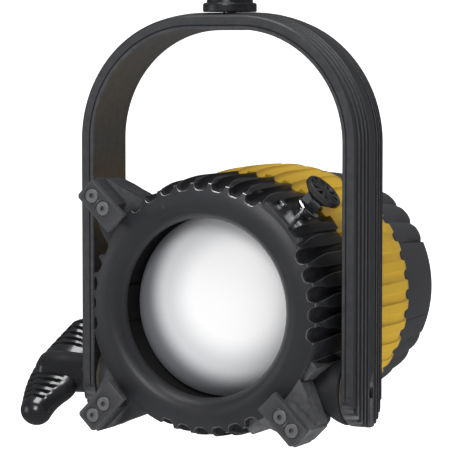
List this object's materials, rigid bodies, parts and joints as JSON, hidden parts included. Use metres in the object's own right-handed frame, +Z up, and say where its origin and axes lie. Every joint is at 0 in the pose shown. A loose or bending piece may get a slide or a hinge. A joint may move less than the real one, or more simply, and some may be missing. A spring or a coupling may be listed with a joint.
{
  "type": "fresnel spotlight",
  "caption": "Focusing studio spotlight with a domed lens, fluted housing and rear focusing ring, tilting in a U-shaped yoke that hangs from a spigot.",
  "frame": {"origin": "centre of the top end face of the yoke's spigot, which the light hangs from", "axes": "+Z up along the spigot; the lens faces -Y; the tilt axis lies along X, with the clamp lever on the -X side"},
  "size_m": [0.2337, 0.2111, 0.3449],
  "materials": {
    "satin_black": "cast, black satin powder coat",
    "black_housing": "cast, black satin paint",
    "yellow_housing": "satin",
    "black_wheel": "fine texture",
    "black_knob": "semi-gloss",
    "gloss_lever": "gloss",
    "matt_interior": "matt",
    "dark_aluminium": "black anodised",
    "bare_aluminium": "machined",
    "frosted_glass": "frosted",
    "clear_glass": "polished",
    "phosphor": "matt",
    "board_white": "solder mask",
    "board_green": "solder mask",
    "friction_fibre": "rough",
    "bearing_bronze": "machined",
    "seal_rubber": "matt",
    "chromed_steel": "polished",
    "grey_screws": "dull",
    "bright_steel": "turned"
  },
  "bodies": {
    "yoke": {"yoke_bow": "satin_black", "spigot": "black_housing", "spigot_washer": "bright_steel", "spigot_bolt": "bright_steel", "left_bushing": "bearing_bronze", "right_bushing": "bearing_bronze"},
    "clamp_lever": {"tilt_lever": "gloss_lever", "lever_nut": "bearing_bronze"},
    "lock_pin": {"latch_pin": "chromed_steel", "latch_knob": "black_knob", "latch_spring": "chromed_steel"},
    "focus_ring": {"focus_wheel": "black_wheel", "cam_sleeve": "bare_aluminium"},
    "carriage": {"focus_carriage": "matt_interior", "focus_lens": "clear_glass", "focus_lens_ring": "bare_aluminium", "cam_pin": "bright_steel"},
    "lamp_head": {"left_trunnion": "satin_black", "right_trunnion": "satin_black", "front_bezel": "satin_black", "clip_plate_upper_left": "satin_black", "clip_plate_lower_left": "satin_black", "clip_plate_lower_right": "satin_black", "front_housing": "black_housing", "rear_cover": "black_housing", "mid_housing": "yellow_housing", "power_inlet": "black_knob", "lens_barrel": "matt_interior", "lens_clip_1": "matt_interior", "lens_clip_2": "matt_interior", "lens_clip_3": "matt_interior", "heat_sink": "dark_aluminium", "wheel_retainer": "bare_aluminium", "lens": "frosted_glass", "led_emitter": "phosphor", "led_board": "board_white", "driver_board": "board_green", "left_friction_disc": "friction_fibre", "right_friction_disc": "friction_fibre", "lens_gasket": "seal_rubber", "latch_body": "chromed_steel", "clip_screw_upper_left_1": "grey_screws", "clip_screw_upper_left_2": "grey_screws", "clip_screw_lower_left_1": "grey_screws", "clip_screw_lower_left_2": "grey_screws", "clip_screw_lower_right_1": "grey_screws", "clip_screw_lower_right_2": "grey_screws", "cover_screw_1": "grey_screws", "cover_screw_2": "grey_screws", "cover_screw_3": "grey_screws", "right_pivot_bolt": "bright_steel", "tilt_stud": "bright_steel", "lever_washer": "bright_steel", "left_trunnion_screw_1": "bright_steel", "left_trunnion_screw_2": "bright_steel", "right_trunnion_screw_1": "bright_steel", "right_trunnion_screw_2": "bright_steel", "guide_rod_1": "bright_steel", "guide_rod_2": "bright_steel", "guide_rod_3": "bright_steel"}
  },
  "joints": [
    {"name": "head_tilt", "type": "hinge", "parent": "yoke", "child": "lamp_head", "pos_m": [0, 0, -0.3119], "axis": [1, 0, 0], "range_deg": [-90, 90]},
    {"name": "clamp_lever_turn", "type": "hinge", "parent": "yoke", "child": "clamp_lever", "pos_m": [-0.12, 0, -0.3119], "axis": [1, 0, 0], "range_deg": [0, 120]},
    {"name": "latch_pull", "type": "slide", "parent": "lamp_head", "child": "lock_pin", "axis": [0.7071, 0, 0.7071], "range_m": [0, 0.004], "stiffness_N_per_m": 900, "springref_m": -0.003, "deforming": ["latch_spring"]},
    {"name": "focus_turn", "type": "hinge", "parent": "lamp_head", "child": "focus_ring", "pos_m": [0, 0.12, -0.2626], "axis": [0, 1, 0], "range_deg": [0, 270]},
    {"name": "focus_slide", "type": "slide", "parent": "lamp_head", "child": "carriage", "axis": [0, 1, 0], "range_m": [0, 0.022]}
  ],
  "couplings": [
    {"joint": "focus_slide", "follows": "focus_turn", "m_per_rad": 0.0046685}
  ]
}
